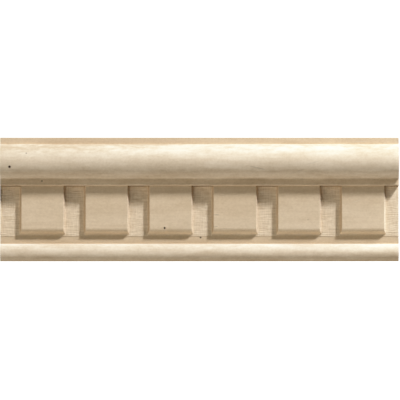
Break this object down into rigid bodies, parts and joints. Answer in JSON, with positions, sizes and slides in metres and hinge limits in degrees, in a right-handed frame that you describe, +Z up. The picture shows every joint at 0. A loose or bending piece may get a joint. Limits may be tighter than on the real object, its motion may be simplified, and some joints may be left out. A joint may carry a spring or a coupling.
{
  "type": "dentil chair rail",
  "caption": "Straight wooden chair rail with a rounded nose and fascia over a row of dentils, a plain fillet and a small bead below, flat at the back for fixing to a wall.",
  "frame": {"origin": "middle of the flat back, where the rail meets the wall", "axes": "+X along the rail to the right as seen from the room, +Y into the wall, +Z up"},
  "size_m": [0.204, 0.0175, 0.0636],
  "materials": {
    "bare_hardwood": "bare, planed and moulded pale hardwood"
  },
  "bodies": {
    "root": {"chair_rail": "bare_hardwood"}
  },
  "joints": []
}
